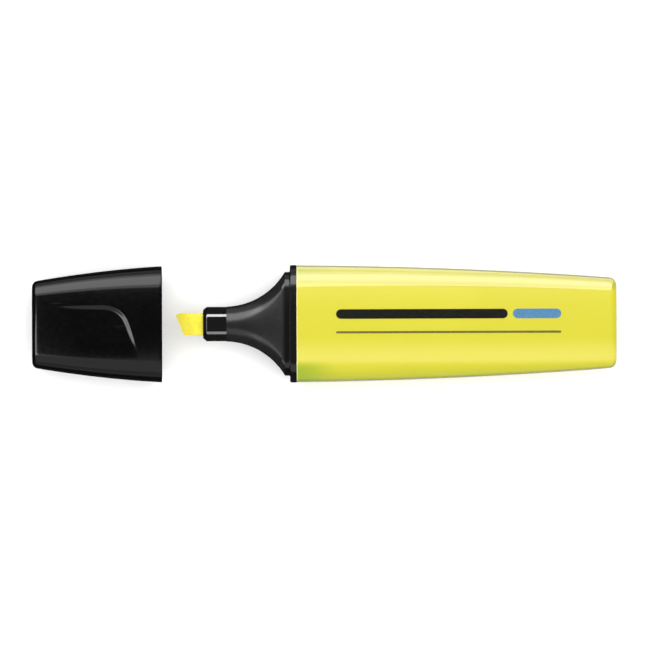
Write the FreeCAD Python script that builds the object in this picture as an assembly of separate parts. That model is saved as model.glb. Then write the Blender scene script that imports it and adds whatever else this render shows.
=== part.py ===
import FreeCAD
import Part

import math
import os

"""Flat chisel-tip highlighter with its cap pulled off and lying in line with the barrel.

The pieces are modelled in pen coordinates: X along the pen with the cap's seat plane at 0 and the tail
at +X, Y across the wide faces, Z through the thickness, and the pen's axis at Y = Z = 0. Each piece is
then placed in the part's own frame, whose origin is on the table under the middle of what lies there.
All lengths are in millimetres.
"""

Vector = FreeCAD.Vector
ALONG = Vector(1, 0, 0)

# --- Joint between barrel and cap: the section that the barrel's mouth has ---
JOINT_WIDTH = 26.9
JOINT_THICKNESS = 16.9
JOINT_CORNER = 5.2
FACE_CROWN = 120.0  # radius of the slight crown across the wide faces
SIDE_CROWN = 40.0  # radius of the crown on the narrow sides

# --- Barrel ---
BARREL_LENGTH = 73.65
BARREL_WALL = 1.3
BARREL_BELLY_WIDTH = 0.64  # bulge of each narrow side over a straight taper
BARREL_BELLY_THICKNESS = 0.35  # the same for each wide face
TAIL_WIDTH = 20.7
TAIL_THICKNESS = 14.2
TAIL_CORNER = 2.9
TAIL_ROUND = 1.7
TAIL_WALL = 1.6
RIB_THICKNESS = 1.0
RIB_GAP = 1.0  # from the plug's end to the front of the ribs

# --- Front section: plug, flange, collar, flared neck and nose ---
PLUG_DEPTH = 8.0
PLUG_WALL = 1.2
PLUG_CLEARANCE = 0.03
BEAD_HEIGHT = 0.25
BEAD_WIDTH = 1.4
BEAD_CLEARANCE = 0.05
BEAD_PLACE = 5.0  # from the flange's back to the middle of the bead
FLANGE_LENGTH = 1.5
FLANGE_PROUD = 0.08
FLANGE_ROUND = 0.3
COLLAR_LENGTH = 1.2
COLLAR_CLEARANCE = 0.2  # all round, inside the cap's mouth
COLLAR_FILLET = 0.3
NECK_LENGTH = 13.45  # from the nose's front face to the collar
NECK_WALL = 1.3
NOSE_STEP = 0.07  # how far the nose stands out past the holder
NOSE_CROWN_RATIO = 1.14  # crown radius over half-width at the nose, near 1 so that it is nearly round
NOSE_CORNER_RATIO = 0.955  # corner radius over half-width at the nose
FLARE_RADIUS_PLAN = 16.1
FLARE_RADIUS_SIDE = 33.0
NECK_CORNER_BELLY = 0.3  # the neck's corner radius is this much larger at mid length than a taper's
FACE_CREST_LEAD = 0.65  # the wide faces reach full height this far ahead of the collar
NECK_HOLLOW_START = 7.4  # from the nose's front face to the front of the neck's hollow
NIB_TUBE_WALL = 0.9
WEB_THICKNESS = 1.0

# --- Nib holder ---
HOLDER_LENGTH = 5.4
HOLDER_SHOULDER = 0.55  # step from the spigot up to the holder's visible part
HOLDER_CHAMFER_LENGTH = 0.85
HOLDER_CHAMFER_DEPTH = 0.72
HOLDER_EDGE_ROUND = 0.35
SPIGOT_WALL = 0.5  # at its thinnest, over the nib's corners
SPIGOT_LENGTH = 3.6
MOUTH_CHAMFER = 0.12

# --- Nib ---
NIB_WIDTH = 5.14
NIB_THICKNESS = 3.8
NIB_CORNER = 0.8
NIB_REACH = 6.3  # from the holder's face to the sharp corner that the tip would have
NIB_CUT_ANGLE = 22.0  # writing edge, away from square across the pen
NIB_TIP_DROP = 0.4  # the long side runs in by this much towards the tip
NIB_TIP_SLOPE = 1.4  # length over which it does so
NIB_TIP_ROUND = 0.2
NIB_SHOULDER_ROUND = 1.4
NIB_HEEL_ROUND = 0.25
NIB_EDGE_THICKNESS = 1.7
NIB_BEVEL_LENGTH = 2.6
NIB_INSERTION = 5.0  # how far the nib's tail is pushed into the reservoir
NIB_TAIL_CHAMFER = 0.7
NIB_CLEARANCE = 0.02

# --- Reservoir ---
RESERVOIR_ROOM = 0.3  # from the reservoir to the nearest wall round it
RESERVOIR_START = 3.0  # behind the seat plane
RESERVOIR_STOP = 10.15  # from the tail's end face to the reservoir's back
FILM_THICKNESS = 0.15
RESERVOIR_CLEARANCE = 0.1

# --- Cap ---
CAP_STEP = 0.06  # how far the cap's mouth stays inside the barrel's outline, all round
CAP_WALL = 1.25
CAP_END_WIDTH = 19.8
CAP_END_ROOM = 0.43  # between the seal's tube and the cap's end, through the thickness
CAP_END_CORNER = 3.5
CAP_END_ROUND = 1.1
CAP_END_WALL = 1.5
CAP_BELLY_WIDTH = 0.44
CAP_BELLY_THICKNESS = 0.3
CAP_MOUTH_ROUND = 0.2
CAP_MOUTH_CHAMFER = 0.35  # inside the mouth, to clear the collar's fillet
NIB_ROOM = 0.9  # in front of the nib when the cap is on
SEAT_GAP = 0.1
CAP_STANDOFF = 3.2  # from the nib's tip to the mouth of the cap that lies in front of it

# --- Thumb recess in each wide face of the cap, measured from the cap's mouth and from the axis ---
RECESS_FAR_END = (25.8, 4.45)
RECESS_CORNER = (9.1, 4.1)
RECESS_NEAR_END = (6.0, -4.85)
RECESS_DEPTH = 0.5
RECESS_DEEPEST = (10.6, 3.0)
RECESS_CORNER_RADIUS = 4.2
RECESS_FLOOR_FILLET = 0.45
RECESS_WALL_ANGLE = 50.0  # of the wall, away from square to the floor

# --- Inner seal of the cap ---
SEAL_CLEARANCE = 0.06
SEAL_WALL = 1.0
SEAL_OVERLAP = 4.7  # length of the holder that the seal covers when the cap is on
SEAL_BASE = 1.2
SEAL_BASE_CLEARANCE = 0.04
SEAL_LEAD_IN = 0.4
SEAL_GUSSET = 0.9
SEAL_GUSSET_LENGTH = 5.0

# --- Moulding gate marks on the two flat ends ---
GATE_RADIUS = 1.3
GATE_DEPTH = 0.25
GATE_NUB_RADIUS = 0.45
GATE_NUB_HEIGHT = 0.12

# --- Radii and lengths that follow from the sizes above ---
NIB_CORNER_CENTRE = math.hypot(NIB_WIDTH / 2 - NIB_CORNER, NIB_THICKNESS / 2 - NIB_CORNER)
SPIGOT_RADIUS = NIB_CORNER_CENTRE + NIB_CORNER + NIB_CLEARANCE + SPIGOT_WALL
HOLDER_RADIUS = SPIGOT_RADIUS + HOLDER_SHOULDER
NOSE_RADIUS = HOLDER_RADIUS + NOSE_STEP
SEAL_RADIUS = HOLDER_RADIUS + SEAL_CLEARANCE
CAP_END_THICKNESS = 2 * (SEAL_RADIUS + SEAL_WALL + CAP_END_ROOM + CAP_WALL)
COLLAR_INSET = CAP_STEP + CAP_WALL + COLLAR_CLEARANCE
PLUG_INSET = BARREL_WALL + PLUG_CLEARANCE
ROOM_IN_PLUG = JOINT_THICKNESS / 2 - PLUG_INSET - PLUG_WALL
ROOM_IN_TAIL = TAIL_THICKNESS / 2 - BARREL_WALL
RESERVOIR_RADIUS = min(ROOM_IN_PLUG, ROOM_IN_TAIL) - RESERVOIR_ROOM

# --- Places along the pen that follow from the sizes above ---
BARREL_FRONT = FLANGE_LENGTH
BARREL_BACK = BARREL_FRONT + BARREL_LENGTH
PLUG_BACK = BARREL_FRONT + PLUG_DEPTH
COLLAR_FRONT = -COLLAR_LENGTH
FACE_CREST = COLLAR_FRONT - FACE_CREST_LEAD
NOSE_FRONT = COLLAR_FRONT - NECK_LENGTH
HOLDER_FRONT = NOSE_FRONT - HOLDER_LENGTH
NIB_TIP = HOLDER_FRONT - NIB_REACH
RESERVOIR_BACK = BARREL_BACK - RESERVOIR_STOP
CAP_MOUTH = -SEAT_GAP
CAP_END = NIB_TIP - NIB_ROOM - SEAL_BASE - CAP_END_WALL
CAP_LENGTH = CAP_MOUTH - CAP_END
CAP_TRAVEL = CAP_MOUTH - NIB_TIP + CAP_STANDOFF

EDGE_ROUND = 0.12  # on moulded edges that would otherwise be sharp
STATIONS = 7  # sections in each tapered loft
REACH = 100.0  # longer than the part, for tools that only trim


def taper(share, start, end, belly=0.0):
    """A size that goes from start to end with an even bulge between them."""
    return start + (end - start) * share + 4 * belly * share * (1 - share)


def pebble(x, width, thickness, corner, inset=0.0, face_crown=FACE_CROWN, side_crown=SIDE_CROWN):
    """Closed outline across the pen: crowned faces and sides joined by tangent corner arcs.

    An inset gives the parallel outline inside it, so a wall is as thick at a corner as on a face.
    """
    face_radius, side_radius, corner_radius = (r - inset for r in (face_crown, side_crown, corner))
    top, side = thickness / 2 - inset, width / 2 - inset
    face_centre, side_centre = Vector(x, 0, top - face_radius), Vector(x, side - side_radius, 0)
    # The corner's centre lies where it can touch both crowns from the inside.
    to_side = side_centre - face_centre
    apart = to_side.Length
    from_face, from_side = face_radius - corner_radius, side_radius - corner_radius
    along = (from_face**2 - from_side**2 + apart**2) / (2 * apart)
    off = math.sqrt(from_face**2 - along**2)
    unit = to_side * (1 / apart)
    centre = face_centre + unit * along + Vector(0, unit.z, -unit.y) * off
    face_touch = face_centre + (centre - face_centre) * (face_radius / from_face)
    side_touch = side_centre + (centre - side_centre) * (side_radius / from_side)
    outward = (face_touch - centre) + (side_touch - centre)
    middle = centre + outward * (corner_radius / outward.Length)

    def at(point, y_sign, z_sign):
        return Vector(x, point.y * y_sign, point.z * z_sign)

    arcs = [
        (at(face_touch, -1, 1), Vector(x, 0, top), at(face_touch, 1, 1)),
        (at(face_touch, 1, 1), at(middle, 1, 1), at(side_touch, 1, 1)),
        (at(side_touch, 1, 1), Vector(x, side, 0), at(side_touch, 1, -1)),
        (at(side_touch, 1, -1), at(middle, 1, -1), at(face_touch, 1, -1)),
        (at(face_touch, 1, -1), Vector(x, 0, -top), at(face_touch, -1, -1)),
        (at(face_touch, -1, -1), at(middle, -1, -1), at(side_touch, -1, -1)),
        (at(side_touch, -1, -1), Vector(x, -side, 0), at(side_touch, -1, 1)),
        (at(side_touch, -1, 1), at(middle, -1, 1), at(face_touch, -1, 1)),
    ]
    return Part.Wire([Part.Arc(*arc).toShape() for arc in arcs])


def barrel_outline(x, inset=0.0):
    share = (x - BARREL_FRONT) / BARREL_LENGTH
    width = taper(share, JOINT_WIDTH, TAIL_WIDTH, 2 * BARREL_BELLY_WIDTH)
    thickness = taper(share, JOINT_THICKNESS, TAIL_THICKNESS, 2 * BARREL_BELLY_THICKNESS)
    return pebble(x, width, thickness, taper(share, JOINT_CORNER, TAIL_CORNER), inset)


def cap_thickness(x):
    share = (CAP_MOUTH - x) / CAP_LENGTH
    return taper(share, JOINT_THICKNESS - 2 * CAP_STEP, CAP_END_THICKNESS, 2 * CAP_BELLY_THICKNESS)


def cap_outline(x, inset=0.0):
    share = (CAP_MOUTH - x) / CAP_LENGTH
    width = taper(share, JOINT_WIDTH - 2 * CAP_STEP, CAP_END_WIDTH, 2 * CAP_BELLY_WIDTH)
    corner = taper(share, JOINT_CORNER - CAP_STEP, CAP_END_CORNER)
    return pebble(x, width, cap_thickness(x), corner, inset)


def joint_outline(x, inset=0.0):
    return pebble(x, JOINT_WIDTH, JOINT_THICKNESS, JOINT_CORNER, inset)


def flare(x, rise, radius, crest):
    """How far a flare of that radius has risen at x, where it has risen fully at crest."""
    run = min(x, crest) - (crest - math.sqrt(2 * radius * rise - rise**2))
    return radius - math.sqrt(radius**2 - max(0.0, run) ** 2)


def neck_outline(x, inset=0.0):
    """The neck: round at the nose, flaring in plan and in side view to the collar's outline."""
    collar_width = JOINT_WIDTH - 2 * COLLAR_INSET
    collar_thickness = JOINT_THICKNESS - 2 * COLLAR_INSET
    half_width = NOSE_RADIUS + flare(
        x, collar_width / 2 - NOSE_RADIUS, FLARE_RADIUS_PLAN, COLLAR_FRONT
    )
    half_thickness = NOSE_RADIUS + flare(
        x, collar_thickness / 2 - NOSE_RADIUS, FLARE_RADIUS_SIDE, FACE_CREST
    )
    share = (x - NOSE_FRONT) / NECK_LENGTH

    def crown(radius):
        """Crown radius whose curvature falls fast from the nose's and then slowly to the collar's."""
        nose = NOSE_RADIUS * NOSE_CROWN_RATIO
        return 1 / taper((1 - share) ** 2, 1 / (radius - COLLAR_INSET), 1 / nose)

    corner = taper(share, NOSE_RADIUS * NOSE_CORNER_RATIO, JOINT_CORNER - COLLAR_INSET, NECK_CORNER_BELLY)
    return pebble(
        x, 2 * half_width, 2 * half_thickness, corner, inset, crown(FACE_CROWN), crown(SIDE_CROWN)
    )


def loft(outline, start, end, inset=0.0, ruled=False, stations=STATIONS):
    places = [start + (end - start) * i / (stations - 1) for i in range(stations)]
    return Part.makeLoft([outline(x, inset) for x in places], True, ruled)


def band(outline, middle, width, inset, height):
    """A ridge round the pen, as wide as width where its flanks meet inset and height high there."""
    wires = [
        outline(middle - width, inset + height),
        outline(middle, inset - height),
        outline(middle + width, inset + height),
    ]
    return Part.makeLoft(wires, True, True)


def rod(radius, start, end):
    return Part.makeCylinder(radius, end - start, Vector(start, 0, 0), ALONG)


def turned(profile):
    """A solid of revolution about the pen's axis from (x, radius) points."""
    wire = Part.makePolygon([Vector(x, r, 0) for x, r in profile + profile[:1]])
    return Part.Face(wire).revolve(Vector(0, 0, 0), ALONG, 360)


def box(x_range, y_range, z_range):
    low, high = zip(x_range, y_range, z_range)
    size = [b - a for a, b in zip(low, high)]
    return Part.makeBox(*size, Vector(*low))


def nib_bar(start, end, grow=0.0):
    """Bar of the nib's section, or of its channel where grow is the clearance all round."""
    side, top, r = NIB_WIDTH / 2 + grow, NIB_THICKNESS / 2 + grow, NIB_CORNER + grow
    bar = box((start, end), (-side, side), (-top, top))
    return bar.makeFillet(r, [e for e in bar.Edges if is_along(e)])


def is_along(edge):
    return abs(edge.BoundBox.XLength - edge.Length) < 1e-6


def edges_at(shape, x, half_width=REACH):
    """Edges that lie in the plane across the pen at x and no farther out than half_width."""
    slack = 1e-3
    return [
        e
        for e in shape.Edges
        if abs(e.BoundBox.XMin - x) < slack
        and abs(e.BoundBox.XMax - x) < slack
        and e.BoundBox.YMax < half_width + slack
    ]


def gate_mark(x, outward):
    """The tool that sinks a gate mark into a flat end, leaving a small nub in its middle."""
    well = Part.makeCylinder(GATE_RADIUS, 2 * GATE_DEPTH, Vector(x - GATE_DEPTH, 0, 0), ALONG)
    floor = x - outward * GATE_DEPTH
    nub = Part.makeCylinder(
        GATE_NUB_RADIUS, GATE_NUB_HEIGHT, Vector(floor, 0, 0), Vector(outward, 0, 0)
    )
    return well.cut(nub)


def reservoir_ribs():
    """Cross-shaped ribs that centre the reservoir, solid across behind it as its stop."""
    start, end = PLUG_BACK + RIB_GAP, BARREL_BACK
    half = RIB_THICKNESS / 2
    flat = box((start, end), (-REACH, REACH), (-half, half))
    upright = box((start, end), (-half, half), (-REACH, REACH))
    bore = rod(RESERVOIR_RADIUS + RESERVOIR_CLEARANCE, start - RIB_GAP, RESERVOIR_BACK)
    return flat.fuse(upright).cut(bore)


def make_barrel():
    body = loft(barrel_outline, BARREL_FRONT, BARREL_BACK)
    body = body.makeFillet(TAIL_ROUND, edges_at(body, BARREL_BACK))
    body = body.makeFillet(EDGE_ROUND, edges_at(body, BARREL_FRONT))
    hollow = loft(barrel_outline, BARREL_FRONT, BARREL_BACK - TAIL_WALL, BARREL_WALL)
    groove = band(
        barrel_outline,
        BARREL_FRONT + BEAD_PLACE,
        BEAD_WIDTH + 2 * BEAD_CLEARANCE,
        BARREL_WALL,
        BEAD_HEIGHT + BEAD_CLEARANCE,
    )
    shell = body.cut(hollow.cut(reservoir_ribs())).cut(groove)
    return shell.cut(gate_mark(BARREL_BACK, 1))


def make_front_section():
    neck = loft(neck_outline, NOSE_FRONT, FACE_CREST)
    lip = loft(neck_outline, FACE_CREST, COLLAR_FRONT, stations=3)
    collar = loft(joint_outline, COLLAR_FRONT, 0, COLLAR_INSET, stations=2)
    flange = loft(joint_outline, 0, BARREL_FRONT, -FLANGE_PROUD, stations=2)
    flange = flange.makeFillet(FLANGE_ROUND, edges_at(flange, 0))
    flange = flange.makeFillet(EDGE_ROUND, edges_at(flange, BARREL_FRONT))
    plug = loft(barrel_outline, BARREL_FRONT, PLUG_BACK, PLUG_INSET)
    bead = band(barrel_outline, BARREL_FRONT + BEAD_PLACE, BEAD_WIDTH, PLUG_INSET, BEAD_HEIGHT)
    outside = neck.fuse([lip, collar, flange, plug, bead])
    collar_half_width = JOINT_WIDTH / 2 - COLLAR_INSET
    outside = outside.makeFillet(COLLAR_FILLET, edges_at(outside, 0, collar_half_width))

    hollow_front = NOSE_FRONT + NECK_HOLLOW_START
    neck_hollow = loft(neck_outline, hollow_front, FACE_CREST, NECK_WALL)
    lip_hollow = loft(neck_outline, FACE_CREST, COLLAR_FRONT, NECK_WALL, stations=3)
    collar_hollow = loft(joint_outline, COLLAR_FRONT, BARREL_FRONT, COLLAR_INSET + NECK_WALL, stations=2)
    plug_hollow = loft(barrel_outline, BARREL_FRONT, PLUG_BACK, PLUG_INSET + PLUG_WALL)
    hollow = neck_hollow.fuse([lip_hollow, collar_hollow, plug_hollow])
    hollow = hollow.cut(nib_guide(hollow_front))

    bore = rod(SPIGOT_RADIUS, NOSE_FRONT, NOSE_FRONT + SPIGOT_LENGTH)
    channel = nib_bar(NOSE_FRONT, RESERVOIR_START, NIB_CLEARANCE)
    return outside.cut(hollow).cut(bore).cut(channel)


def nib_guide(start):
    """Tube round the nib inside the neck's hollow, held by webs that also stop the reservoir."""
    tube = nib_bar(start, RESERVOIR_START, NIB_TUBE_WALL + NIB_CLEARANCE)
    half = WEB_THICKNESS / 2
    flat = box((start, RESERVOIR_START), (-REACH, REACH), (-half, half))
    upright = box((start, RESERVOIR_START), (-half, half), (-REACH, REACH))
    return tube.fuse([flat, upright])


def make_nib_holder():
    face_radius = HOLDER_RADIUS - HOLDER_CHAMFER_DEPTH
    shoulder = HOLDER_FRONT + HOLDER_CHAMFER_LENGTH
    back = NOSE_FRONT + SPIGOT_LENGTH
    body = turned(
        [
            (HOLDER_FRONT, 0),
            (HOLDER_FRONT, face_radius),
            (shoulder, HOLDER_RADIUS),
            (NOSE_FRONT, HOLDER_RADIUS),
            (NOSE_FRONT, SPIGOT_RADIUS),
            (back, SPIGOT_RADIUS),
            (back, 0),
        ]
    )
    body = body.makeFillet(HOLDER_EDGE_ROUND, edges_at(body, HOLDER_FRONT) + edges_at(body, shoulder))
    body = body.cut(nib_bar(HOLDER_FRONT, back, NIB_CLEARANCE))
    channel_mouth = edges_at(body, HOLDER_FRONT, NIB_WIDTH / 2 + NIB_CLEARANCE)
    return body.makeChamfer(MOUTH_CHAMFER, channel_mouth)


def make_nib():
    tail = RESERVOIR_START + NIB_INSERTION
    bar = nib_bar(NIB_TIP, tail)
    bar = bar.makeChamfer(NIB_TAIL_CHAMFER, edges_at(bar, tail))
    nib = bar.common(nib_plan(tail))
    for z_sign in (1, -1):
        nib = nib.cut(nib_bevel(z_sign))
    return nib


def nib_plan(tail):
    """The nib's plan shape, as a tall block: a slanting writing edge from the tip to the heel."""
    side = NIB_WIDTH / 2
    tip = (NIB_TIP, side - NIB_TIP_DROP)
    shoulder = (NIB_TIP + NIB_TIP_SLOPE, side)
    heel = (NIB_TIP + math.tan(math.radians(NIB_CUT_ANGLE)) * (NIB_WIDTH - NIB_TIP_DROP), -side)
    corners = [tip, heel, (tail, -side), (tail, side), shoulder]
    blank = Part.Face(Part.makePolygon([Vector(x, y, -REACH) for x, y in corners + corners[:1]]))
    block = blank.extrude(Vector(0, 0, 2 * REACH))
    for (x, y), radius in (
        (tip, NIB_TIP_ROUND),
        (shoulder, NIB_SHOULDER_ROUND),
        (heel, NIB_HEEL_ROUND),
    ):
        block = block.makeFillet(radius, upright_edges(block, x, y))
    return block


def upright_edges(shape, x, y):
    return [e for e in shape.Edges if e.Length > REACH and e.BoundBox.isInside(Vector(x, y, 0))]


def nib_bevel(z_sign):
    """Wedge that thins the nib towards its writing edge, on one of its two wide faces."""
    top = NIB_THICKNESS / 2
    edge = NIB_EDGE_THICKNESS / 2
    slope = (top - edge) / NIB_BEVEL_LENGTH
    start, past = -NIB_BEVEL_LENGTH, NIB_BEVEL_LENGTH
    profile = [
        Vector(start, 0, (edge + slope * start) * z_sign),
        Vector(past, 0, (edge + slope * past) * z_sign),
        Vector(start, 0, (edge + slope * past) * z_sign),
    ]
    face = Part.Face(Part.makePolygon(profile + profile[:1]))
    wedge = face.extrude(Vector(0, 4 * NIB_WIDTH, 0))
    wedge.translate(Vector(0, -2 * NIB_WIDTH, 0))
    wedge.rotate(Vector(0, 0, 0), Vector(0, 0, 1), NIB_CUT_ANGLE)
    wedge.translate(Vector(NIB_TIP, NIB_WIDTH / 2 - NIB_TIP_DROP, 0))
    return wedge


def make_reservoir():
    core = rod(RESERVOIR_RADIUS - FILM_THICKNESS, RESERVOIR_START, RESERVOIR_BACK)
    return core.cut(make_nib())


def make_film():
    outer = rod(RESERVOIR_RADIUS, RESERVOIR_START, RESERVOIR_BACK)
    return outer.cut(rod(RESERVOIR_RADIUS - FILM_THICKNESS, RESERVOIR_START, RESERVOIR_BACK))


def make_cap():
    body = loft(cap_outline, CAP_END, CAP_MOUTH)
    body = body.makeFillet(CAP_END_ROUND, edges_at(body, CAP_END))
    body = body.makeFillet(CAP_MOUTH_ROUND, edges_at(body, CAP_MOUTH))
    shell = body.cut(loft(cap_outline, CAP_END + CAP_END_WALL, CAP_MOUTH, CAP_WALL))
    mouth_half_width = JOINT_WIDTH / 2 - CAP_STEP - CAP_WALL
    shell = shell.makeChamfer(CAP_MOUTH_CHAMFER, edges_at(shell, CAP_MOUTH, mouth_half_width))
    recess = recess_tool()
    shell = shell.cut(recess).cut(recess.mirror(Vector(0, 0, 0), Vector(0, 0, 1)))
    return shell.cut(gate_mark(CAP_END, -1))


def on_cap_face(place, depth=0.0):
    """The point on the cap's upper face, or depth below it, at (distance from mouth, Y)."""
    x, y = CAP_MOUTH - place[0], place[1]
    crown_fall = FACE_CROWN - math.sqrt(FACE_CROWN**2 - y**2)
    return Vector(x, y, cap_thickness(x) / 2 - crown_fall - depth)


def recess_tool():
    """Shallow scoop whose tilted floor runs out to the face at both ends of its curved wall."""
    far, near = on_cap_face(RECESS_FAR_END), on_cap_face(RECESS_NEAR_END)
    deepest = on_cap_face(RECESS_DEEPEST, RECESS_DEPTH)
    normal = (near - far).cross(deepest - far).normalize()
    normal = normal if normal.z > 0 else normal * -1
    tilt = FreeCAD.Placement(deepest, FreeCAD.Rotation(Vector(0, 0, 1), normal))

    height = 2 * RECESS_DEPTH + 1
    spread = height * math.tan(math.radians(RECESS_WALL_ANGLE))
    floor, rim = recess_outline(0, 0), recess_outline(height, spread)
    tool = Part.makeLoft([floor, rim], True, True)
    wall_foot = [e for e in tool.Edges if e.BoundBox.ZMax < 1e-6 and is_wall_edge(e)]
    tool = tool.makeFillet(RECESS_FLOOR_FILLET, wall_foot)
    tool.Placement = tilt
    return tool


def recess_outline(height, spread):
    """The scoop's outline about its deepest point, with its curved wall moved out by spread."""
    origin = Vector(CAP_MOUTH - RECESS_DEEPEST[0], RECESS_DEEPEST[1], 0)

    def local(place):
        return Vector(CAP_MOUTH - place[0], place[1], height) - origin

    far, corner, near = local(RECESS_FAR_END), local(RECESS_CORNER), local(RECESS_NEAR_END)
    up = Vector(0, 0, 1)
    first, second = (corner - far).normalize(), (near - corner).normalize()
    first_out, second_out = up.cross(first), up.cross(second)
    turn = first.getAngle(second)
    corner = corner + (first_out + second_out) * (spread / (1 + math.cos(turn)))
    tangent = (RECESS_CORNER_RADIUS + spread) * math.tan(turn / 2)
    arc_start, arc_end = corner - first * tangent, corner + second * tangent
    centre = arc_start - first_out * (RECESS_CORNER_RADIUS + spread)
    outward = (corner - centre).normalize()
    arc_middle = centre + outward * (RECESS_CORNER_RADIUS + spread)
    run_on = 3.0  # past each end of the wall, where the floor is already above the face
    start = far + first_out * spread - first * run_on
    end = near + second_out * spread + second * run_on
    back = Vector(start.x, end.y, height)
    return Part.Wire(
        [
            Part.LineSegment(start, arc_start).toShape(),
            Part.Arc(arc_start, arc_middle, arc_end).toShape(),
            Part.LineSegment(arc_end, end).toShape(),
            Part.LineSegment(end, back).toShape(),
            Part.LineSegment(back, start).toShape(),
        ]
    )


def is_wall_edge(edge):
    """True for the edges under the scoop's wall, and not for the two that close its outline."""
    along_x = edge.BoundBox.YLength < 1e-6
    along_y = edge.BoundBox.XLength < 1e-6
    return not (along_x or along_y)


def make_inner_seal():
    base_front = CAP_END + CAP_END_WALL
    base_back = base_front + SEAL_BASE
    mouth = HOLDER_FRONT + SEAL_OVERLAP
    base = loft(cap_outline, base_front, base_back, CAP_WALL + SEAL_BASE_CLEARANCE, stations=3)
    outer = SEAL_RADIUS + SEAL_WALL
    tube = rod(outer, base_front, mouth)
    half = SEAL_GUSSET / 2
    gusset_reach = cap_thickness(base_back) / 2 - CAP_WALL - SEAL_BASE_CLEARANCE - SEAL_BASE
    gusset = [
        Vector(base_back, 0, -half),
        Vector(base_back, outer + gusset_reach / 2, -half),
        Vector(base_back + SEAL_GUSSET_LENGTH, 0, -half),
    ]
    rib = Part.Face(Part.makePolygon(gusset + gusset[:1])).extrude(Vector(0, 0, SEAL_GUSSET))
    other_rib = rib.mirror(Vector(0, 0, 0), Vector(0, 1, 0))
    seal = base.fuse([tube, rib, other_rib])
    bore = turned(
        [
            (base_back, 0),
            (base_back, SEAL_RADIUS),
            (mouth - SEAL_LEAD_IN, SEAL_RADIUS),
            (mouth, SEAL_RADIUS + SEAL_LEAD_IN),
            (mouth, 0),
        ]
    )
    return seal.cut(bore)


def place(shape, travel=0.0):
    """Moves a piece from pen coordinates to the part's frame, with the cap's pieces off their seat."""
    lying_length = CAP_LENGTH + SEAT_GAP + CAP_TRAVEL + BARREL_BACK
    seat = lying_length / 2 - BARREL_BACK
    axis_height = JOINT_THICKNESS / 2 + FLANGE_PROUD
    moved = shape.copy()
    moved.translate(Vector(seat - travel, 0, axis_height))
    return moved


PIECES = {
    "barrel_shell": (make_barrel, 0.0),
    "front_section": (make_front_section, 0.0),
    "nib_holder": (make_nib_holder, 0.0),
    "chisel_nib": (make_nib, 0.0),
    "ink_reservoir": (make_reservoir, 0.0),
    "reservoir_film": (make_film, 0.0),
    "cap_shell": (make_cap, CAP_TRAVEL),
    "cap_inner_seal": (make_inner_seal, CAP_TRAVEL),
}


def main():
    os.makedirs("parts", exist_ok=True)
    for name, (make, travel) in PIECES.items():
        shape = place(make(), travel)
        if not shape.isValid() or len(shape.Solids) != 1:
            raise ValueError(f"{name} is not one valid solid")
        size = shape.BoundBox
        print(
            f"{name}: {shape.Volume:.1f} mm3, "
            f"X {size.XMin:.2f} to {size.XMax:.2f}, Y {size.YMin:.2f} to {size.YMax:.2f}, "
            f"Z {size.ZMin:.2f} to {size.ZMax:.2f}"
        )
        shape.Solids[0].exportStep(f"parts/{name}.step")


main()
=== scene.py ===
import math

import bmesh
import bpy
from mathutils import Matrix, Vector


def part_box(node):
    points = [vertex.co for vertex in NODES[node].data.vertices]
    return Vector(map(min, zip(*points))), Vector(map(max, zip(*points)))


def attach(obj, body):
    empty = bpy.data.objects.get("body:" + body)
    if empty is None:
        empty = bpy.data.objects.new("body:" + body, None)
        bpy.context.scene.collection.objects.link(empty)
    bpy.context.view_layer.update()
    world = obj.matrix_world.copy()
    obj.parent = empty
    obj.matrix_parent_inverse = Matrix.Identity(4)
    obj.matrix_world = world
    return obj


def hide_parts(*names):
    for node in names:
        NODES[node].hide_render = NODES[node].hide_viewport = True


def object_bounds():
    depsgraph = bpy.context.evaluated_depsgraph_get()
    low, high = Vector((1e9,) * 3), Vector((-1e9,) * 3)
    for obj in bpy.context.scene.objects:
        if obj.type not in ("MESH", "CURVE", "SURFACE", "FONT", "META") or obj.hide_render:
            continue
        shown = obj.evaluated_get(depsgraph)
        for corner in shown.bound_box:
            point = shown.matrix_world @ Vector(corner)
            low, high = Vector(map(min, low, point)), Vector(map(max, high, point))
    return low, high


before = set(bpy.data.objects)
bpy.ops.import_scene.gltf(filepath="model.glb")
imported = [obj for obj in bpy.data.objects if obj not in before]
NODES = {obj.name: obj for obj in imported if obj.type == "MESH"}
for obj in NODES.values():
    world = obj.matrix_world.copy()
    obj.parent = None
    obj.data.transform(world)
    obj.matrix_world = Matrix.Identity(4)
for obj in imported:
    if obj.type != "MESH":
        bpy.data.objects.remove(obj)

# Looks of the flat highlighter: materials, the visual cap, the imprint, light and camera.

scene = bpy.context.scene
bpy.context.view_layer.update()
CAD_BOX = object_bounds()
MM = 0.001
SHARP = math.radians(32)  # an edge that turns by more than this stays sharp

# The pen's own landmarks, read from the CAD nodes.
BARREL_LOW, BARREL_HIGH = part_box("barrel_shell")
CAP_LOW, CAP_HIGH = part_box("cap_shell")
HOLDER_LOW, HOLDER_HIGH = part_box("nib_holder")
AXIS_Z = (HOLDER_LOW.z + HOLDER_HIGH.z) / 2
SEAL_GAP = 0.06  # mm between the nib holder and the cap's inner seal
SEAL_RADIUS = (HOLDER_HIGH.z - HOLDER_LOW.z) / 2 / MM + SEAL_GAP
CENTRE = Vector(((CAD_BOX[0].x + CAD_BOX[1].x) / 2, 0, AXIS_Z))


# ---------------------------------------------------------------- materials
def srgb(*values):
    """Linear RGBA from 0 to 255 display values."""
    out = []
    for v in values:
        c = v / 255
        out.append(c / 12.92 if c <= 0.04045 else ((c + 0.055) / 1.055) ** 2.4)
    return (*out, 1.0)


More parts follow.
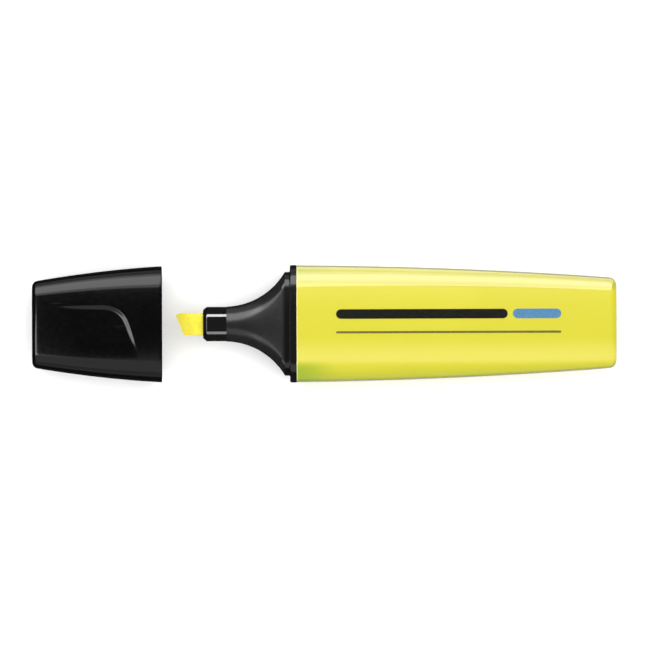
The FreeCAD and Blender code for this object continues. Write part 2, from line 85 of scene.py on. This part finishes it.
class Maker:
    """Builds one node material, with short names for the nodes it needs."""

    def __init__(self, name):
        self.material = bpy.data.materials.new(name)
        self.material.use_nodes = True
        self.nodes = self.material.node_tree.nodes
        self.links = self.material.node_tree.links
        self.nodes.clear()
        output = self.nodes.new("ShaderNodeOutputMaterial")
        self.shader = self.nodes.new("ShaderNodeBsdfPrincipled")
        self.links.new(self.shader.outputs["BSDF"], output.inputs["Surface"])
        self.place = self.nodes.new("ShaderNodeTexCoord").outputs["Object"]
        self.split = None

    def set(self, **values):
        """Sets constant shader inputs; an underscore stands for a space in a socket's name."""
        for name, value in values.items():
            self.shader.inputs[name.replace("_", " ")].default_value = value

    def link(self, source, target):
        """Links a socket to one of the shader's inputs."""
        self.links.new(source, self.shader.inputs[target])

    def noise(self, scale, detail=3.0, roughness=0.55, stretch=None, distortion=0.0):
        """Noise in the object's own space; scale is per metre, stretch scales each axis."""
        node = self.nodes.new("ShaderNodeTexNoise")
        node.inputs["Scale"].default_value = scale
        node.inputs["Detail"].default_value = detail
        node.inputs["Roughness"].default_value = roughness
        node.inputs["Distortion"].default_value = distortion
        source = self.place
        if stretch:
            mapping = self.nodes.new("ShaderNodeMapping")
            mapping.inputs["Scale"].default_value = stretch
            self.links.new(source, mapping.inputs["Vector"])
            source = mapping.outputs["Vector"]
        self.links.new(source, node.inputs["Vector"])
        return node.outputs["Fac"]

    def ramp(self, source, low, high, out_low=0.0, out_high=1.0, eased=True):
        """Maps low to high onto out_low to out_high, and holds those values outside them."""
        node = self.nodes.new("ShaderNodeMapRange")
        node.interpolation_type = "SMOOTHSTEP" if eased else "LINEAR"
        node.inputs["From Min"].default_value = low
        node.inputs["From Max"].default_value = high
        node.inputs["To Min"].default_value = out_low
        node.inputs["To Max"].default_value = out_high
        self.links.new(source, node.inputs["Value"])
        return node.outputs["Result"]

    def axis(self, letter):
        """One coordinate in the object's own space, in metres."""
        if self.split is None:
            self.split = self.nodes.new("ShaderNodeSeparateXYZ")
            self.links.new(self.place, self.split.inputs["Vector"])
        return self.split.outputs[letter]

    def math(self, operation, a, b=None):
        node = self.nodes.new("ShaderNodeMath")
        node.operation = operation
        for socket, value in zip(node.inputs, (a, b)):
            if value is None:
                continue
            if isinstance(value, (int, float)):
                socket.default_value = value
            else:
                self.links.new(value, socket)
        return node.outputs[0]

    def mix(self, factor, a, b):
        """Colour mix; a and b are colours or sockets."""
        node = self.nodes.new("ShaderNodeMix")
        node.data_type = "RGBA"
        self.links.new(factor, node.inputs["Factor"])
        for socket, value in ((node.inputs[6], a), (node.inputs[7], b)):
            if isinstance(value, tuple):
                socket.default_value = value
            else:
                self.links.new(value, socket)
        return node.outputs[2]

    def bump(self, *layers):
        """Stacks (height socket, strength, distance in metres) layers on the normal."""
        normal = None
        for height, strength, distance in layers:
            node = self.nodes.new("ShaderNodeBump")
            node.inputs["Strength"].default_value = strength
            node.inputs["Distance"].default_value = distance
            self.links.new(height, node.inputs["Height"])
            if normal:
                self.links.new(normal, node.inputs["Normal"])
            normal = node.outputs["Normal"]
        self.links.new(normal, self.shader.inputs["Normal"])
        return self


def places(pair, start=0.0):
    """A pair of places given in millimetres from start, as metres."""
    return [start + v * MM for v in pair]


def scuffs(m):
    """Sparse fine scratches along the pen, as a 0 to 1 socket."""
    streaks = m.noise(900.0, 2.0, 0.5, stretch=(0.05, 1.0, 1.0), distortion=0.4)
    patches = m.noise(60.0, 2.0)
    return m.math("MULTIPLY", m.ramp(streaks, 0.66, 0.72), m.ramp(patches, 0.5, 0.7))


# Where the barrel's tints, painted highlight and painted shade among them, begin and where they are
# full, in mm across it from the pen's axis.
# The glow band below is a painted highlight along one side of each wide face.
PAINTED_GLOW, PAINTED_GLOW_EDGE = (-2.5, -8.0), (-9.9, -8.3)
SHADED_SIDE = (-4.0, 4.0)
# The deep band below is painted shade towards the narrow sides.
PAINTED_SIDE_SHADE = (9.2, 13.2)
# The rim band below is painted shade along the rounded corner on the +Y side.
PAINTED_RIM_SHADE, PAINTED_RIM_SHADE_EDGE = (8.8, 9.8), (13.0, 11.8)
PLUG_CORNER = (8.0, 10.5)
NARROWING = 1.5  # how much nearer to the axis the sides' painted shade is at the tail

# Along the pen, in mm from the barrel's mouth: where a look is full, and where it has gone.
PLUG_REACH = (0.3, 11.0)
# The mouth edge band below is a painted highlight.
PAINTED_MOUTH_HIGHLIGHT = (0.12, 0.28)
NECK_END = (-3.0, -2.7)  # of the front section's matt texture


def barrel_material():
    m = Maker("barrel_yellow")
    x, y = m.axis("X"), m.axis("Y")
    side = m.math("ABSOLUTE", y)
    cloud = m.noise(45.0, 3.0)
    colour = m.mix(m.ramp(cloud, 0.3, 0.7), srgb(206, 199, 44), srgb(204, 196, 41))
    # Painted highlight: a paler band along one side of each wide face, painted into the colour.
    painted_glow = m.math("MULTIPLY", m.ramp(y, *places(PAINTED_GLOW)), m.ramp(y, *places(PAINTED_GLOW_EDGE)))
    colour = m.mix(painted_glow, colour, srgb(216, 207, 82))
    # Painted shade: the colour deepens towards the narrow sides, most on the shaded side.
    lower = m.ramp(y, *places(SHADED_SIDE), 1.0, 0.3)
    # The barrel tapers, so places across it are measured as if it were as wide as at its mouth.
    narrowing = m.ramp(x, BARREL_LOW.x, BARREL_HIGH.x, 0.0, NARROWING * MM, eased=False)
    painted_side_shade = m.math("MULTIPLY", m.ramp(m.math("ADD", side, narrowing), *places(PAINTED_SIDE_SHADE)), lower)
    colour = m.mix(painted_side_shade, colour, srgb(188, 188, 38))
    # Painted shade also darkens the rounded corner between the face and the side at +Y.
    reach = m.math("ADD", y, narrowing)
    rim = m.math("MULTIPLY", m.ramp(reach, *places(PAINTED_RIM_SHADE)), m.ramp(reach, *places(PAINTED_RIM_SHADE_EDGE)))
    colour = m.mix(rim, colour, srgb(189, 181, 43))
    # The black plug inside the barrel's mouth shows faintly through the corners over it; this is
    # painted as a greener, darker tint, and painted shade makes it stronger on the shaded side.
    plug = m.ramp(x, *places(PLUG_REACH, BARREL_LOW.x), 1.0, 0.0)
    corner = m.math("MULTIPLY", m.ramp(side, *places(PLUG_CORNER)), lower)
    colour = m.mix(m.math("MULTIPLY", plug, corner), colour, srgb(156, 174, 35))
    # Painted highlight: a pale line along the mouth's thin edge.
    painted_mouth_highlight = m.ramp(x, *places(PAINTED_MOUTH_HIGHLIGHT, BARREL_LOW.x), 1.0, 0.0)
    colour = m.mix(painted_mouth_highlight, colour, srgb(238, 232, 150))
    m.link(colour, "Base Color")
    rough = m.ramp(m.noise(700.0, 4.0), 0.3, 0.7, 0.17, 0.20)
    m.link(m.math("ADD", rough, m.math("MULTIPLY", scuffs(m), 0.03)), "Roughness")
    m.set(IOR=1.6, Coat_Weight=1.0, Coat_Roughness=0.15)
    m.set(Subsurface_Weight=0.2, Subsurface_Scale=0.0012)
    m.shader.inputs["Subsurface Radius"].default_value = (1.0, 0.9, 0.3)
    return m.bump((m.noise(5200.0, 2.0), 0.06, 3e-6)).material


def cap_material():
    m = Maker("cap_black")
    shade = m.noise(80.0, 3.0)
    m.link(m.mix(m.ramp(shade, 0.35, 0.65), srgb(3, 3, 3), srgb(5, 5, 5)), "Base Color")
    rough = m.ramp(m.noise(900.0, 4.0), 0.3, 0.7, 0.12, 0.15)
    m.link(m.math("ADD", rough, m.math("MULTIPLY", scuffs(m), 0.12)), "Roughness")
    m.set(IOR=1.46)
    return m.bump((m.noise(4800.0, 3.0), 0.08, 4e-6)).material


def section_material():
    """Fine spark-eroded matt texture on the neck; the collar and flange are moulded smoother."""
    m = Maker("section_black")
    shade = m.ramp(m.noise(120.0, 3.0), 0.35, 0.65)
    neck = m.ramp(m.axis("X"), *places(NECK_END, BARREL_LOW.x), 1.0, 0.0)
    moulded = m.mix(shade, srgb(15, 15, 15), srgb(18, 18, 18))
    matt = m.mix(shade, srgb(28, 28, 28), srgb(33, 33, 33))
    m.link(m.mix(neck, moulded, matt), "Base Color")
    grain = m.noise(3600.0, 4.0, 0.65)
    rough = m.math("ADD", m.math("MULTIPLY", neck, 0.07), m.ramp(grain, 0.3, 0.7, 0.15, 0.20))
    m.link(rough, "Roughness")
    m.set(IOR=1.5)
    return m.bump((m.math("MULTIPLY", grain, neck), 0.3, 8e-6), (grain, 0.08, 4e-6)).material


def holder_material():
    m = Maker("holder_black")
    shade = m.noise(300.0, 2.0)
    m.link(m.mix(shade, srgb(19, 19, 19), srgb(22, 22, 22)), "Base Color")
    m.link(m.ramp(m.noise(1500.0, 3.0), 0.3, 0.7, 0.05, 0.08), "Roughness")
    m.set(IOR=1.5)
    return m.bump((m.noise(1200.0, 2.0), 0.03, 3e-6)).material


def seal_material():
    m = Maker("seal_grey")
    shade = m.noise(200.0, 3.0)
    m.link(m.mix(shade, srgb(42, 42, 44), srgb(54, 54, 56)), "Base Color")
    m.link(m.ramp(m.noise(1800.0, 3.0), 0.3, 0.7, 0.45, 0.6), "Roughness")
    return m.bump((m.noise(2500.0, 3.0), 0.2, 8e-6)).material


def felt_material(name, light, dark, fibre_scale=1.0):
    """Pressed felt: fine fibres mostly along the pen, soaked with ink."""
    m = Maker(name)
    fibres = m.noise(5200.0 * fibre_scale, 4.0, 0.6, stretch=(0.16, 1.0, 1.0), distortion=1.2)
    clumps = m.noise(900.0, 3.0, 0.6)
    tone = m.math("MULTIPLY", m.math("ADD", fibres, clumps), 0.5)
    m.link(m.mix(m.ramp(tone, 0.36, 0.64), dark, light), "Base Color")
    m.link(m.ramp(fibres, 0.3, 0.7, 0.55, 0.8), "Roughness")
    m.set(IOR=1.4, Sheen_Weight=0.15, Sheen_Roughness=0.5)
    m.set(Subsurface_Weight=0.3, Subsurface_Scale=0.0006)
    return m.bump((fibres, 0.5, 20e-6), (clumps, 0.3, 25e-6)).material


def film_material():
    m = Maker("film_clear")
    m.link(m.mix(m.noise(300.0), srgb(225, 226, 200), srgb(235, 236, 215)), "Base Color")
    m.link(m.ramp(m.noise(900.0), 0.3, 0.7, 0.12, 0.25), "Roughness")
    m.set(IOR=1.49, Alpha=0.45)
    return m.bump((m.noise(500.0), 0.2, 15e-6)).material


def print_material(name, low, high):
    """A thin layer of pad-printed ink with slight unevenness."""
    m = Maker(name)
    m.link(m.mix(m.ramp(m.noise(1600.0, 4.0), 0.35, 0.65), low, high), "Base Color")
    m.link(m.ramp(m.noise(3000.0, 3.0), 0.3, 0.7, 0.4, 0.5), "Roughness")
    m.set(IOR=1.45)
    return m.bump((m.noise(4200.0, 3.0), 0.15, 4e-6)).material


def paint(obj, material):
    """Leaves the object with this one material."""
    obj.data.materials.clear()
    obj.data.materials.append(material)


CAP_LOOK = cap_material()
CAD_LOOKS = {
    "barrel_shell": barrel_material(),
    "front_section": section_material(),
    "nib_holder": holder_material(),
    "ink_reservoir": felt_material("reservoir_fibre", srgb(226, 226, 90), srgb(196, 200, 60), 0.6),
    "reservoir_film": film_material(),
    "cap_shell": CAP_LOOK,
    "cap_inner_seal": seal_material(),
    "chisel_nib": felt_material("nib_felt", srgb(243, 230, 80), srgb(232, 218, 60)),
}
for node, look in CAD_LOOKS.items():
    paint(NODES[node], look)


def solid_object(name, points, faces):
    """Smooth-shaded object from points in millimetres, with its faces turned outward."""
    mesh = bpy.data.meshes.new(name)
    mesh.from_pydata([Vector(p) * MM for p in points], [], faces)
    work = bmesh.new()
    work.from_mesh(mesh)
    bmesh.ops.recalc_face_normals(work, faces=work.faces)
    work.to_mesh(mesh)
    work.free()
    mesh.shade_smooth()
    mesh.set_sharp_from_angle(angle=SHARP)
    piece = bpy.data.objects.new(name, mesh)
    scene.collection.objects.link(piece)
    return piece


# ---------------------------------------------------------------- cap
def smooth(value, low, high):
    """0 below low and 1 above high, eased between them."""
    t = min(1.0, max(0.0, (value - low) / (high - low)))
    return t * t * (3 - 2 * t)


def taper(share, start, end, bulge=0.0):
    """From start to end over shares 0 to 1, with bulge added halfway."""
    return start + (end - start) * share + 4 * bulge * share * (1 - share)


class CapShape:
    """The cap's moulding, in millimetres. d is the distance from its mouth towards its end."""

    LENGTH = (CAP_HIGH.x - CAP_LOW.x) / MM
    WIDTHS = (26.78, 19.8, 0.88)  # at the mouth, at the end, and the bulge between them
    ROUND_SEAL = 2.68  # how far the blunt end's faces lie outside the seal's bore
    THICKNESSES = (16.78, 2 * (SEAL_RADIUS + ROUND_SEAL), 0.6)
    CORNERS = (5.14, 3.5)
    FACE_CROWN, SIDE_CROWN = 120.0, 40.0
    WALL, END_WALL = 1.25, 1.5
    END_ROUND, MOUTH_ROUND, MOUTH_CHAMFER = 1.1, 0.2, 0.35
    GATE_RADIUS, GATE_DEPTH, NUB_RADIUS, NUB_HEIGHT = 1.3, 0.25, 0.45, 0.12
    GATE_EASE, NUB_EASE, NUB_MIDDLE = 0.05, 0.02, 0.2
    FLAT_RINGS = (0.35, 0.7)  # shares of the way from the gate mark to the rounded edge

    # Thumb recess: where its crease runs, as (d, y), and the lengths over which its floor rises.
    CREASE = ((29.0, 4.3), (9.0, 4.3), (4.7, -8.6))
    CREASE_RADIUS = 6.6
    RECESS_DEPTH = 0.3
    RECESS_WALL = 1.05
    RECESS_LIP = 0.08  # share of the wall over which its top edge is eased
    RECESS_REACH = 10.0  # the recess stays within this distance of the middle
    FLOOR_ALONG = (28.5, 11.0)
    FLOOR_ACROSS = (-8.0, 1.0)

    # Points along a quarter of the section, then rings over each stretch of the length.
    FACE_STEPS, CORNER_STEPS, SIDE_STEPS = 44, 16, 9
    END_STEPS, MOUTH_STEPS, INSIDE_STEPS = 10, 5, 14
    FINE_STRETCH, FINE_STEP, COARSE_STEP, LAST_STEP = (3.5, 13.5), 0.2, 0.55, 0.3
    FAR_STEPS, BEND_STEPS, NEAR_STEPS = 30, 24, 16  # along the crease

    def __init__(self):
        self.crease = self.crease_path()

    def crease_path(self):
        """Points along the crease, evenly spaced, with its corner rounded."""
        far, corner, near = (Vector(p) for p in self.CREASE)
        first, second = (corner - far).normalized(), (near - corner).normalized()
        reach = self.CREASE_RADIUS * math.tan(first.angle(second) / 2)
        start, end = corner - first * reach, corner + second * reach
        bend = []
        for i in range(self.BEND_STEPS + 1):
            t = i / self.BEND_STEPS
            bend.append(start * (1 - t) ** 2 + corner * 2 * t * (1 - t) + end * t**2)
        path = [far + (start - far) * (i / self.FAR_STEPS) for i in range(self.FAR_STEPS)] + bend
        steps = range(1, self.NEAR_STEPS + 1)
        return path + [end + (near - end) * (i / self.NEAR_STEPS) for i in steps]

    def recess(self, d, y):
        """Depth of the thumb recess below the wide face."""
        here = Vector((d, y))
        spans = range(len(self.crease) - 1)
        nearest = min(spans, key=lambda i: (self.crease[i] - here).length_squared)
        best = None
        for i in (max(0, nearest - 1), nearest):
            a, b = self.crease[i], self.crease[i + 1]
            along = b - a
            t = min(1.0, max(0.0, (here - a).dot(along) / along.length_squared))
            off = here - (a + along * t)
            inside = along.x * off.y - along.y * off.x
            if best is None or off.length < best[0]:
                best = (off.length, inside)
        distance, inside = best
        if inside < 0:
            return 0.0
        u = min(1.0, distance / self.RECESS_WALL)
        wall = (1 - (1 - u) ** 2) * smooth(u, -self.RECESS_LIP, self.RECESS_LIP)
        along = 1 - smooth(d, *reversed(self.FLOOR_ALONG))
        return self.RECESS_DEPTH * wall * along * smooth(y, *self.FLOOR_ACROSS)

    def ring(self, d, inset=0.0):
        """Points (y, z) round the section at d, moved in by inset, from the top's middle to +Y."""
        share = d / self.LENGTH
        face, side, corner = (
            r - inset for r in (self.FACE_CROWN, self.SIDE_CROWN, taper(share, *self.CORNERS))
        )
        top = taper(share, *self.THICKNESSES) / 2 - inset
        half = taper(share, *self.WIDTHS) / 2 - inset
        face_centre, side_centre = Vector((0, top - face)), Vector((half - side, 0))
        between = side_centre - face_centre
        from_face, from_side = face - corner, side - corner
        along = (from_face**2 - from_side**2 + between.length_squared) / (2 * between.length)
        off = math.sqrt(from_face**2 - along**2)
        unit = between.normalized()
        centre = face_centre + unit * along + Vector((unit.y, -unit.x)) * off
        face_tilt = math.atan2(centre.x - face_centre.x, centre.y - face_centre.y)
        side_tilt = math.atan2(centre.x - side_centre.x, centre.y - side_centre.y)

        def arc(middle, radius, first, last, count):
            tilts = [first + (last - first) * i / count for i in range(count)]
            y, z = middle
            return [(y + radius * math.sin(t), z + radius * math.cos(t)) for t in tilts]

        quarter = arc(face_centre, face, 0, face_tilt, self.FACE_STEPS)
        quarter += arc(centre, corner, face_tilt, side_tilt, self.CORNER_STEPS)
        quarter += arc(side_centre, side, side_tilt, math.pi / 2, self.SIDE_STEPS)
        quarter.append((half, 0.0))
        ring = quarter + [(y, -z) for y, z in reversed(quarter)][1:]
        ring += [(-y, -z) for y, z in quarter][1:] + [(-y, z) for y, z in reversed(quarter)][1:-1]
        return ring

    def outer_ring(self, d):
        """The outside at d, with the recess sunk into both wide faces."""
        ring = []
        for y, z in self.ring(d):
            depth = self.recess(d, y) if abs(y) < self.RECESS_REACH else 0.0
            ring.append((y, z - math.copysign(depth, z)))
        return ring

    def round_end(self):
        """Rings over the rounded end, from the flat end face out to the sides."""
        rings = []
        for i in range(self.END_STEPS + 1):
            turn = math.radians(90 * i / self.END_STEPS)
            d = self.LENGTH - self.END_ROUND * (1 - math.sin(turn))
            rings.append((d, self.END_ROUND * (1 - math.cos(turn))))
        return [(d, self.ring(d, inset)) for d, inset in reversed(rings)]

    def gate(self):
        """Rings from the middle of the end's gate mark out to near the rounded edge."""
        floor = self.LENGTH - self.GATE_DEPTH
        nub = floor + self.NUB_HEIGHT
        steps = (
            (nub, self.NUB_MIDDLE),
            (nub, self.NUB_RADIUS),
            (floor, self.NUB_RADIUS + self.NUB_EASE),
            (floor, self.GATE_RADIUS - self.GATE_EASE),
            (floor + self.GATE_EASE, self.GATE_RADIUS),
            (self.LENGTH - self.GATE_EASE, self.GATE_RADIUS),
            (self.LENGTH, self.GATE_RADIUS + self.GATE_EASE),
        )
        outline = self.ring(self.LENGTH, self.END_ROUND)
        angles = [math.atan2(y, z) for y, z in outline]
        rings = [(d, [(r * math.sin(a), r * math.cos(a)) for a in angles]) for d, r in steps]
        well = rings[-1][1]
        for t in self.FLAT_RINGS:
            pairs = zip(well, outline)
            flat = [(a[0] + (b[0] - a[0]) * t, a[1] + (b[1] - a[1]) * t) for a, b in pairs]
            rings.append((self.LENGTH, flat))
        return rings

    def stations(self):
        """Places along the outside, close together where the crease bends."""
        d, out = self.LENGTH - self.END_ROUND, []
        low, high = self.FINE_STRETCH
        while d > self.MOUTH_ROUND + self.LAST_STEP:
            d -= self.FINE_STEP if low < d < high else self.COARSE_STEP
            out.append(max(d, self.MOUTH_ROUND))
        return out

    def build(self):
        """Points and faces of the whole moulding, from the gate mark round into the hollow."""
        rings = self.gate() + self.round_end()
        rings += [(d, self.outer_ring(d)) for d in self.stations()]
        for i in range(self.MOUTH_STEPS + 1):
            turn = math.radians(90 * i / self.MOUTH_STEPS)
            d = self.MOUTH_ROUND * (1 - math.sin(turn))
            rings.append((d, self.ring(d, self.MOUTH_ROUND * (1 - math.cos(turn)))))
        rings.append((0.0, self.ring(0.0, self.WALL - self.MOUTH_CHAMFER)))
        inner_start, inner_end = self.MOUTH_CHAMFER, self.LENGTH - self.END_WALL
        for i in range(self.INSIDE_STEPS + 1):
            d = inner_start + (inner_end - inner_start) * i / self.INSIDE_STEPS
            rings.append((d, self.ring(d, self.WALL)))

        points, faces, count = [], [], len(rings[0][1])
        for d, ring in rings:
            points += [(CAP_HIGH.x / MM - d, y, AXIS_Z / MM + z) for y, z in ring]
        for r in range(len(rings) - 1):
            for i in range(count):
                j = (i + 1) % count
                here, there = r * count, (r + 1) * count
                faces.append((here + i, here + j, there + j, there + i))
        faces.append(tuple(range(count)))
        faces.append(tuple(range((len(rings) - 1) * count, len(rings) * count)))
        return points, faces


def make_cap():
    """The cap seen in place of the plain one, its recess fading out instead of ending in an edge."""
    cap = solid_object("cap_moulding", *CapShape().build())
    paint(cap, CAP_LOOK)
    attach(cap, "cap")
    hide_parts("cap_shell")
    return cap


# ---------------------------------------------------------------- imprint
INK, INK_SEAT = 0.018, 0.004  # mm of ink above the barrel's face, and below it
STRIPE_ROWS, STRIPE_STEP = 12, 0.8  # rows across a stripe, and mm between its columns
STRIPE_TIP = 0.01  # mm that the outermost rows reach past where the round ends begin
CAST_HEIGHT = 0.1  # metres, above the whole pen


def stripe(name, x_range, y_range, material):
    """One plain stripe with round ends, as a thin layer of ink on the barrel's upper face.
    x_range is in mm from the barrel's mouth, and y_range in mm from the pen's axis."""
    x0, x1 = (BARREL_LOW.x / MM + v for v in x_range)
    y0, y1 = y_range
    radius = (y1 - y0) / 2
    columns = round((x1 - x0) / STRIPE_STEP)
    rows = []
    for i in range(STRIPE_ROWS + 1):
        rows.append(y0 + radius * (1 - math.cos(math.pi * i / STRIPE_ROWS)))
    down = Vector((0, 0, -1))
    upper, lower = [], []
    for y in rows:
        short = radius - math.sqrt(max(0.0, radius**2 - (y - y0 - radius) ** 2))
        short = min(short, radius - STRIPE_TIP)
        for c in range(columns + 1):
            x = x0 + short + (x1 - x0 - 2 * short) * c / columns
            _, hit, _, _ = BARREL.ray_cast(Vector((x * MM, y * MM, CAST_HEIGHT)), down)
            upper.append((x, y, hit.z / MM + INK))
            lower.append((x, y, hit.z / MM - INK_SEAT))
    points, wide = upper + lower, columns + 1
    half, faces = len(upper), []
    for r in range(len(rows) - 1):
        for c in range(columns):
            i = r * wide + c
            faces.append((i, i + 1, i + 1 + wide, i + wide))
            faces.append(tuple(half + k for k in (i, i + wide, i + 1 + wide, i + 1)))
    last_row = (len(rows) - 1) * wide
    rim = list(range(wide)) + [r * wide + columns for r in range(1, len(rows))]
    rim += [last_row + c for c in range(columns - 1, -1, -1)]
    rim += [r * wide for r in range(len(rows) - 2, 0, -1)]
    for a, b in zip(rim, rim[1:] + rim[:1]):
        faces.append((a, b, half + b, half + a))
    piece = solid_object(name, points, faces)
    paint(piece, material)
    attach(piece, "barrel")


def make_imprint():
    """Plain stripes in the inks and the place that the pen's imprint has."""
    black = print_material("ink_black", srgb(24, 24, 20), srgb(32, 31, 26))
    blue = print_material("ink_blue", srgb(70, 120, 158), srgb(80, 130, 168))
    olive = print_material("ink_olive", srgb(96, 93, 42), srgb(108, 104, 48))
    start, black_end, blue_start, end = 9.1, 48.6, 49.8, 60.9
    thick, thin = (1.1, 3.3), (-2.25, -1.75)
    stripe("imprint_stripe_black", (start, black_end), thick, black)
    stripe("imprint_stripe_blue", (blue_start, end), thick, blue)
    stripe("imprint_line", (start, end), thin, olive)


BARREL, SECTION, HOLDER = NODES["barrel_shell"], NODES["front_section"], NODES["nib_holder"]
CAP = make_cap()
make_imprint()


# ---------------------------------------------------------------- floor, light, camera
FLOOR_RADIUS = 1.6
LAMP_DISTANCE = 0.8  # from the pen's middle
WIDE = 1.6  # width of a lamp that reaches far past both ends of the pen
FIELD = 0.1498  # width of the picture at the pen's axis
FIELD_SHIFT = (0.00018, -0.0003)  # of the picture's middle from the pen's
FIELD_TURN = math.radians(-0.2)


def make_floor():
    """Pale disc under the pen that takes its soft shadow and shows in no reflection."""
    mesh = bpy.data.meshes.new("floor")
    work = bmesh.new()
    bmesh.ops.create_circle(work, cap_ends=True, segments=96, radius=FLOOR_RADIUS)
    work.to_mesh(mesh)
    work.free()
    floor = bpy.data.objects.new("floor", mesh)
    scene.collection.objects.link(floor)
    m = Maker("floor_pale")
    m.link(m.mix(m.noise(3.0), (0.93, 0.93, 0.93, 1), (0.95, 0.95, 0.95, 1)), "Base Color")
    m.set(Roughness=0.9, Specular_IOR_Level=0.0)
    floor.data.materials.append(m.material)
    floor.visible_glossy = False
    floor.visible_shadow = False
    return floor


def softbox(name, zenith, azimuth, height, width, radiance, lit=None, use="gloss"):
    """Rectangular lamp facing the pen. zenith is the angle of its centre from straight up, towards
    azimuth (0 is +X, 90 is +Y). height is the angle it spans that way, and width its size in metres
    across it. Where lit is given, it lights those pieces alone. Its use is gloss or diffuse light."""
    data = bpy.data.lights.new(name, "AREA")
    data.shape = "RECTANGLE"
    data.size = width
    data.size_y = 2 * LAMP_DISTANCE * math.tan(math.radians(height / 2))
    data.energy = radiance * math.pi * data.size * data.size_y
    lamp = bpy.data.objects.new(name, data)
    z, a = math.radians(zenith), math.radians(azimuth)
    direction = Vector((math.sin(z) * math.cos(a), math.sin(z) * math.sin(a), math.cos(z)))
    across = Vector((-math.sin(a), math.cos(a), 0))
    up = direction.cross(across)
    turn = Matrix((across, up, direction)).transposed().to_4x4()
    lamp.matrix_world = Matrix.Translation(CENTRE + direction * LAMP_DISTANCE) @ turn
    lamp.visible_diffuse = use == "diffuse"
    lamp.visible_glossy = use == "gloss"
    lamp.visible_camera = False
    scene.collection.objects.link(lamp)
    if lit:
        group = bpy.data.collections.new(name + "_receivers")
        for obj in lit:
            group.objects.link(obj)
        lamp.light_linking.receiver_collection = group


def make_world():
    """Even surroundings: soft for diffuse light, dim in reflections, pale behind the floor's edge."""
    world = bpy.data.worlds.new("studio")
    scene.world = world
    world.use_nodes = True
    nodes, links = world.node_tree.nodes, world.node_tree.links
    nodes.clear()
    out = nodes.new("ShaderNodeOutputWorld")
    path = nodes.new("ShaderNodeLightPath")
    level = {"base": 0.95, "Is Glossy Ray": 0.03, "Is Camera Ray": 1.0}
    last = None
    for ray, strength in level.items():
        shade = nodes.new("ShaderNodeBackground")
        shade.inputs["Color"].default_value = (strength, strength, strength, 1)
        if last:
            mix = nodes.new("ShaderNodeMixShader")
            links.new(path.outputs[ray], mix.inputs[0])
            links.new(last, mix.inputs[1])
            links.new(shade.outputs[0], mix.inputs[2])
            last = mix.outputs[0]
        else:
            last = shade.outputs[0]
    links.new(last, out.inputs["Surface"])


def make_camera():
    """Looks straight down through a very long lens, so that nothing shows perspective."""
    data = bpy.data.cameras.new("camera")
    data.lens = 1000.0
    data.sensor_width = 36.0
    data.clip_start, data.clip_end = 0.01, 20.0
    camera = bpy.data.objects.new("camera", data)
    distance = FIELD / 2 / (data.sensor_width / 2 / data.lens)
    camera.location = (CENTRE.x + FIELD_SHIFT[0], FIELD_SHIFT[1], AXIS_Z + distance)
    camera.rotation_euler = (0, 0, FIELD_TURN)
    scene.collection.objects.link(camera)
    scene.camera = camera


FLOOR = make_floor()
make_world()
make_camera()
softbox("key", 48, 90, 48, WIDE, 1.9, lit=[CAP])
softbox("key_soft", 49, 90, 74, WIDE, 1.4, lit=[CAP])
softbox("key_wide", 62, 90, 106, WIDE, 0.45, lit=[CAP, SECTION])
softbox("key_barrel", 44, 90, 68, WIDE, 1.7, lit=[BARREL])
softbox("key_barrel_soft", 54, 90, 88, WIDE, 1.3, lit=[BARREL])
softbox("key_low", 92, 90, 104, WIDE, 1.0, lit=[BARREL])
softbox("key_neck", 45, 90, 48, WIDE, 3.7, lit=[SECTION])
softbox("key_flare", 60, 150, 30, 0.45, 2.6, lit=[SECTION])
softbox("key_line", 60, 90, 18, WIDE, 19.0, lit=[HOLDER])
softbox("fill", 39, -90, 62, WIDE, 0.35, lit=[CAP])
softbox("fill_soft", 56, -90, 96, WIDE, 0.4, lit=[CAP])
softbox("fill_low", 75, -90, 100, WIDE, 0.2, lit=[BARREL])
softbox("line_neck", 70, 180, 18, 0.8, 0.8, lit=[SECTION])
softbox("fill_neck", 46, -90, 40, WIDE, 0.8, lit=[SECTION])
softbox("fill_flare", 60, -150, 30, 0.45, 1.2, lit=[SECTION])
softbox("fill_line", 62, -90, 20, WIDE, 5.6, lit=[HOLDER])
softbox("end", 36, 195, 28, 0.28, 5.0, lit=[CAP])
softbox("end_low", 50, 180, 30, 1.2, 4.0, lit=[HOLDER, BARREL])
softbox("bounce", 155, 90, 90, 3.0, 0.25, lit=[BARREL])
softbox("bounce_back", 155, -90, 90, 3.0, 0.1, lit=[BARREL])
softbox("overhead", 6, 90, 60, 1.2, 1.5, use="diffuse")
softbox("floor_wash", 0, 90, 90, WIDE, 0.5, lit=[FLOOR], use="diffuse")
scene.view_settings.view_transform = "Standard"
scene.view_settings.look = "None"
scene.view_settings.exposure = 0.0
scene.view_settings.gamma = 1.0

bpy.context.view_layer.update()
